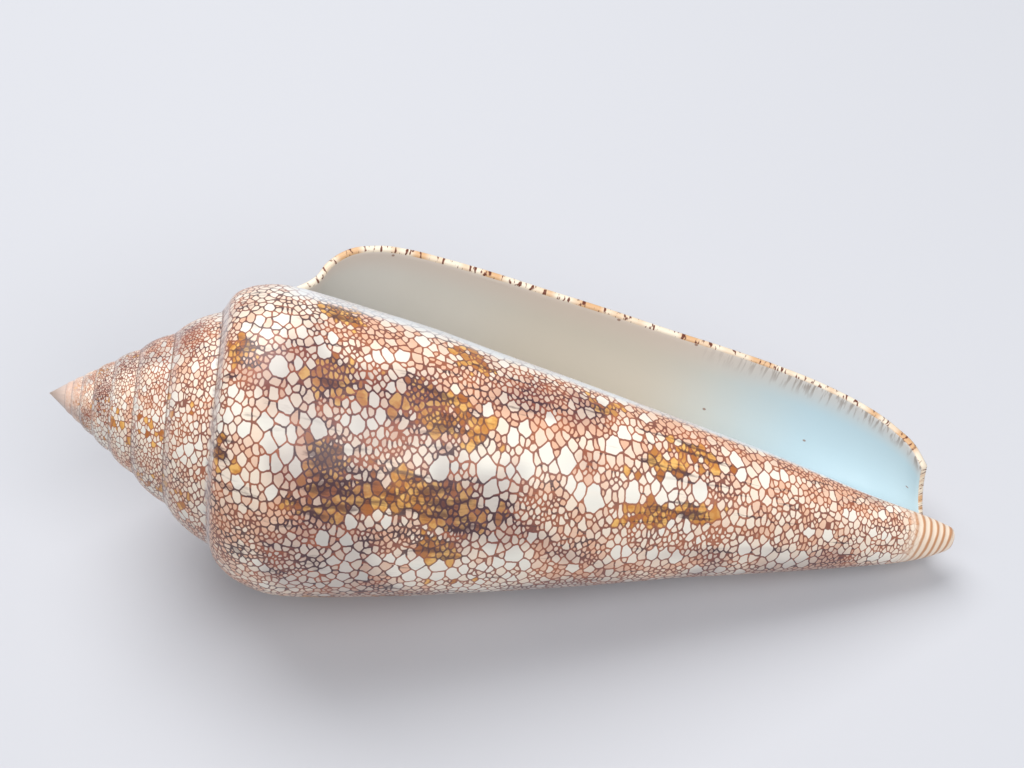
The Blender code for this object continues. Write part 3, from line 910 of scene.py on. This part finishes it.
def net_porcelain(settings):
    """Aragonite porcelain, laid down in thin layers at the mantle's edge.

    The eye sees a gloss like glazed china, a net of red-brown lines under it, and growth
    lines so fine that they only soften the light.
    """
    material, add = new_material("Porcelain shell with net")
    zones = add("Attribute", attribute_name="zones")
    blotch, streak, tent = add("SeparateColor", zones).node.outputs
    cloud = zones.node.outputs["Alpha"]
    ends = add("Attribute", attribute_name="ends")
    worn, front, band = add("SeparateColor", ends).node.outputs
    painted_reflection = ends.node.outputs["Alpha"]
    uv = add("UVMap", uv_map="growth")
    turn, row, _ = add("SeparateXYZ", uv).node.outputs
    place_here = add("TexCoord", output="Object")
    ragged = add("TexNoise", Vector=place_here, Scale=1 / (0.4 * MM), Detail=2.0)
    speck = add("TexNoise", Vector=place_here, Scale=1 / (1.43 * MM), Detail=3.0)
    patch = add("TexNoise", Vector=place_here, Scale=1 / (3.85 * MM), Detail=3.0)
    broad = add("TexNoise", Vector=place_here, Scale=1 / (13.33 * MM), Detail=2.0)

    crowd, kind = nearest_cells(add, settings.line_width / MM)
    wander = add("Math", ragged, 0.36, -0.18, operation="MULTIPLY_ADD")
    line = add("MapRange", add("Math", crowd, wander, operation="ADD"), 0.10, 0.34, **FADE)
    halo = add("MapRange", crowd, 0.0, 0.30, **FADE)
    uneven = add("Math", speck, 0.12, -0.06, operation="MULTIPLY_ADD")
    uneven = add("Math", kind, uneven, operation="ADD")
    cold = add("MapRange", uneven, 0.30, 0.10, 0.0, 0.35, **FADE)
    cold = add("Math", tent, cold, operation="MULTIPLY")
    golden = coats(add, hex_colour("#cd8a42"),
                   [(add("MapRange", speck, 0.35, 0.62, **FADE), settings.orange)])
    # Purple haze: the shell's own tint in the clouds, and painted shade where they thicken on the
    # lower side.
    clouds_with_lower_shade = add("Math", cloud, add("MapRange", broad, 0.42, 0.62, **FADE),
                  operation="MULTIPLY")
    purple_haze_and_shade = add("Math", halo, 0.5, 0.38, operation="MULTIPLY_ADD")
    purple_haze_and_shade = add("Math", purple_haze_and_shade, clouds_with_lower_shade, operation="MULTIPLY")

    # Dark streaks run along the growing edge, thin in the direction of growth.
    bars = growth_noise(add, uv, 3.0, 4.545, 4.0)
    barred = bars
    for zone, strength in ((blotch, 0.13), (streak, 0.09), (halo, 0.05), (tent, -0.05)):
        barred = add("Math", zone, strength, barred, operation="MULTIPLY_ADD")
    barred = add("Math", barred, 0.11, operation="SUBTRACT")
    shaded = add("Math", add("MapRange", barred, 0.54, 0.72, 0.0, 0.7, **FADE),
                 add("MapRange", kind, 0.10, 0.30, 0.25, 1.0, **FADE), operation="MULTIPLY")

    # The lines: two browns, darker in the streaks and the clouds (painted shade in part), faint at
    # the front and on the old turns.
    in_streak = add("Math", cloud, 0.09, barred, operation="MULTIPLY_ADD")
    brown = coats(add, hex_colour("#7c4238"),
                  [(add("MapRange", patch, 0.38, 0.62, **FADE), settings.line_colour),
                   (add("MapRange", in_streak, 0.52, 0.68, **FADE), settings.dark)])
    shown = line
    for strength in (add("Math", front, -0.78, 0.88, operation="MULTIPLY_ADD"),
                     add("MapRange", kind, 0.70, 0.76, 1.0, 0.7, **FADE),
                     add("Math", worn, -0.75, 1.0, operation="MULTIPLY_ADD")):
        shown = add("Math", shown, strength, operation="MULTIPLY")
    # A painted pale-blue reflection beside the mouth, laid over the net.
    reflection_share = add("Math", painted_reflection, add("MapRange", broad, 0.30, 0.50, 0.55, 0.92, **FADE),
                 operation="MULTIPLY")

    # The ridge and the groove along the suture, and the ribbed front end.
    veined = coats(add, hex_colour("#e4dcd8"),
                   [(add("MapRange", bars, 0.40, 0.66, **FADE), hex_colour("#8a7a80"))])
    groove = add("Math", add("MapRange", row, 0.55 / UV_ROW, 0.15 / UV_ROW, **FADE),
                 add("MapRange", turn, -0.6, -0.8, **FADE), operation="MULTIPLY")
    sway = add("Math", turn, RIB_WAVES * 2 * math.pi, operation="MULTIPLY")
    sway = add("Math", patch, 3.0, sway, operation="MULTIPLY_ADD")
    rib = add("Math", row, UV_ROW * 2 * math.pi / RIB_SPACING, sway, operation="MULTIPLY_ADD")
    rib = add("Math", rib, operation="SINE")
    ribbed = coats(add, hex_colour("#f0dcc6"),
                   [(add("MapRange", rib, -0.4, 1.0, 0.0, 0.9, **FADE), hex_colour("#bd8050"))])

    colour = coats(add, hex_colour("#f1e9dc"), [
        (add("MapRange", uneven, 0.10, 0.26, **FADE), settings.cream),
        (add("MapRange", uneven, 0.30, 0.62, **FADE), hex_colour("#e7b799")),
        (cold, hex_colour("#dfe4dc")),
        (add("MapRange", uneven, 0.70, 0.76, **FADE), golden),
        (add("MapRange", uneven, 0.88, 1.00, **FADE), hex_colour("#b06a36")),
        (add("Math", halo, 0.4, operation="MULTIPLY"), hex_colour("#cf8a60")),
        (purple_haze_and_shade, hex_colour("#70565f")),
        (shaded, settings.dark),
        (shown, brown),
        (reflection_share, hex_colour("#dfe5ea")),
        (add("Math", worn, 0.8, operation="MULTIPLY"), hex_colour("#e3c3b2")),
        (add("Math", band, 0.7, operation="MULTIPLY"), veined),
        (add("Math", groove, 0.7, operation="MULTIPLY"), hex_colour("#6e4434")),
        (front, ribbed)])
    height = add("Math", rib, front, operation="MULTIPLY")
    height = add("Math", height, 1.6, growth_noise(add, uv, 1.3846, 33.33, 3.0),
                 operation="MULTIPLY_ADD")
    roughness = add("MapRange", patch, 0.3, 0.8, 0.30, 0.44, **FADE)
    finish_porcelain(add, colour, height, roughness, 0.04 * MM)
    return material


def lip_porcelain():
    """The inside of the lip: smoother porcelain, beige behind and pale blue at the front, partly
    its own tint and partly a painted sky reflection.
    """
    material, add = new_material("Smooth inner porcelain")
    uv = add("UVMap", uv_map="growth")
    turn, row, _ = add("SeparateXYZ", uv).node.outputs
    place_here = add("TexCoord", output="Object")
    cloud = add("TexNoise", Vector=place_here, Scale=1 / (11.11 * MM), Detail=3.0)
    ahead = add("Math", cloud, 0.1, -0.05, operation="MULTIPLY_ADD")
    ahead = add("Math", row, ahead, operation="ADD")
    lip_edge = add("MapRange", turn, -0.035, 0.0, **FADE)
    # A few brown specks, one chosen here and there from cells of 13 degrees by 6 mm.
    cells = add("Mapping", Vector=uv, Scale=(UV_TURN / 12.857, UV_ROW / 5.882, 1.0))
    spots = add("TexVoronoi", Vector=cells, Scale=1.0, voronoi_dimensions="2D").node.outputs
    chosen = add("MapRange", add("SeparateColor", spots["Color"]), 0.84, 0.85, **FADE)
    speck = add("MapRange", spots["Distance"], 0.055, 0.03, **FADE)
    speck = add("Math", speck, chosen, operation="MULTIPLY")
    # Short brown pleats run in from the lip's edge, towards the front.
    pleats = growth_noise(add, uv, 9.0, 0.625, 2.0)
    pleated = add("Math", add("MapRange", turn, -0.022, -0.001, **FADE),
                  add("MapRange", row, 0.55, 0.8, **FADE), operation="MULTIPLY")
    pleated = add("Math", pleated, add("MapRange", pleats, 0.46, 0.60, **FADE),
                  operation="MULTIPLY")
    colour = coats(add, hex_colour("#e4e0d8"), [
        (add("MapRange", ahead, 0.05, 0.45, **FADE), hex_colour("#ddd3c3")),
        # Pale blue towards the front: partly the porcelain's own tint, partly a painted reflection
        # of the sky.
        (add("MapRange", ahead, 0.50, 0.85, **FADE), hex_colour("#c6dde5")),
        (add("Math", lip_edge, 0.6, operation="MULTIPLY"), hex_colour("#ead6c8")),
        (add("Math", speck, 0.75, operation="MULTIPLY"), hex_colour("#8a5a40")),
        (add("Math", pleated, 0.6, operation="MULTIPLY"), hex_colour("#86705f"))])
    lines = growth_noise(add, uv, 2.25, 25.0, 2.0)
    roughness = add("MapRange", lines, 0.3, 0.7, 0.28, 0.34, **FADE)
    finish_porcelain(add, colour, lines, roughness, 0.01 * MM)
    return material


def rim_porcelain():
    """The lip's edge, where the layers end: thin cream porcelain with brown dashes."""
    material, add = new_material("Cream lip edge")
    uv = add("UVMap", uv_map="growth")
    # On the rim the growth UV runs along the edge, where one degree stands for one mm.
    dashes = growth_noise(add, uv, 0.463, 1.111, 2.0)
    warmth = growth_noise(add, uv, 5.143, 33.33, 1.0)
    colour = coats(add, hex_colour("#f1e2cc"), [
        (add("MapRange", warmth, 0.45, 0.6, **FADE), hex_colour("#dcb083")),
        (add("MapRange", dashes, 0.55, 0.62, **FADE), hex_colour("#6b3420"))])
    roughness = add("MapRange", dashes, 0.3, 0.7, 0.3, 0.45, **FADE)
    finish_porcelain(add, colour, dashes, roughness, 0.04 * MM)
    return material


# The stage. The camera's place and lens were fitted to the photograph.

CAMERA_AT = (2.18 * MM, -132.10 * MM, 195.90 * MM)
CAMERA_DOWN = 51.29       # degrees that the camera looks down
CAMERA_YAW = -1.585
CAMERA_ROLL = 1.326
SENSOR_WIDTH = 36.0
PHOTO_WIDTH, PHOTO_FOCAL = 1024.0, 1700.0   # pixels
CLIP_START = 5 * MM
FLOOR_SIZE = 6.0
SKY_COLOUR, SKY_POWER = (0.9, 0.94, 1.0, 1.0), 0.30
LIGHT_AIM = (0, 0, 0.02)
KEY_AT, KEY_SIZE = (-0.18, 0.28, 0.62), 0.5
FILL_AT, FILL_SIZE, FILL_SHARE = (0.25, -0.38, 0.62), 0.6, 0.9


class SCENE_OT_shell_studio(bpy.types.Operator):
    """Set the pale floor, the soft lights and the camera"""
    bl_idname = "scene.shell_studio"
    bl_label = "Shell Studio"

    def execute(self, context):
        settings = context.scene.shell_studio
        scene = context.scene
        bpy.ops.object.select_all(action="DESELECT")
        bpy.ops.mesh.primitive_plane_add(size=FLOOR_SIZE, location=(0, 0, 0))
        floor = context.object
        floor.name = "floor"
        material, add = new_material("Matt studio floor")
        shader = add("BsdfPrincipled", Base_Color=settings.floor_colour, Roughness=0.75)
        add("OutputMaterial", Surface=shader)
        floor.data.materials.append(material)

        world = bpy.data.worlds.new("studio")
        scene.world = world
        scene.view_settings.view_transform = "Standard"
        world.use_nodes = True
        background = world.node_tree.nodes["Background"]
        background.inputs["Color"].default_value = SKY_COLOUR
        background.inputs["Strength"].default_value = SKY_POWER
        self.area("key", KEY_AT, KEY_SIZE, settings.key_power)
        self.area("fill", FILL_AT, FILL_SIZE, settings.key_power * FILL_SHARE)

        down, yaw, roll = (math.radians(a) for a in (CAMERA_DOWN, CAMERA_YAW, CAMERA_ROLL))
        ahead = np.array([math.sin(yaw) * math.cos(down), math.cos(yaw) * math.cos(down),
                          -math.sin(down)])
        right = np.array([math.cos(yaw), -math.sin(yaw), 0.0])
        up = np.cross(right, ahead)
        right, up = (math.cos(roll) * right + math.sin(roll) * up,
                     -math.sin(roll) * right + math.cos(roll) * up)
        lens = bpy.data.cameras.new("photo_view")
        lens.sensor_width = SENSOR_WIDTH
        lens.lens = PHOTO_FOCAL * SENSOR_WIDTH / PHOTO_WIDTH
        lens.clip_start = CLIP_START
        camera = bpy.data.objects.new("photo_view", lens)
        scene.collection.objects.link(camera)
        turned = Matrix(np.stack([right, up, -ahead], axis=1).tolist()).to_4x4()
        camera.matrix_world = Matrix.Translation(CAMERA_AT) @ turned
        scene.camera = camera
        return {"FINISHED"}

    def area(self, name, at, size, power):
        """A soft square light that looks at the shell."""
        bpy.ops.object.light_add(type="AREA", location=at)
        light = bpy.context.object
        light.name = name
        light.data.size = size
        light.data.energy = power
        x, y, z = np.array(at) - np.array(LIGHT_AIM)
        light.rotation_euler = (math.atan2(math.hypot(x, y), z), 0,
                                math.atan2(y, x) + math.pi / 2)


class VIEW3D_PT_cone_shell(bpy.types.Panel):
    bl_label = "Cone Shell"
    bl_idname = "VIEW3D_PT_cone_shell"
    bl_space_type = "VIEW_3D"
    bl_region_type = "UI"
    bl_category = "Cone Shell"

    def draw(self, context):
        for group in (context.scene.shell_markings, context.scene.shell_studio):
            for name in group.__annotations__:
                self.layout.prop(group, name)
        self.layout.operator("mesh.cone_shell")
        self.layout.operator("scene.shell_studio")


CLASSES = (ShellMarkings, ShellStudio, MESH_OT_cone_shell, SCENE_OT_shell_studio,
           VIEW3D_PT_cone_shell)


def register():
    for item in CLASSES:
        bpy.utils.register_class(item)
    bpy.types.Scene.shell_markings = bpy.props.PointerProperty(type=ShellMarkings)
    bpy.types.Scene.shell_studio = bpy.props.PointerProperty(type=ShellStudio)


def unregister():
    del bpy.types.Scene.shell_markings
    del bpy.types.Scene.shell_studio
    for item in reversed(CLASSES):
        bpy.utils.unregister_class(item)


def main():
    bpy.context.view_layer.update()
    register()
    bpy.ops.mesh.cone_shell()
    bpy.ops.scene.shell_studio()


if __name__ == "__main__":
    main()
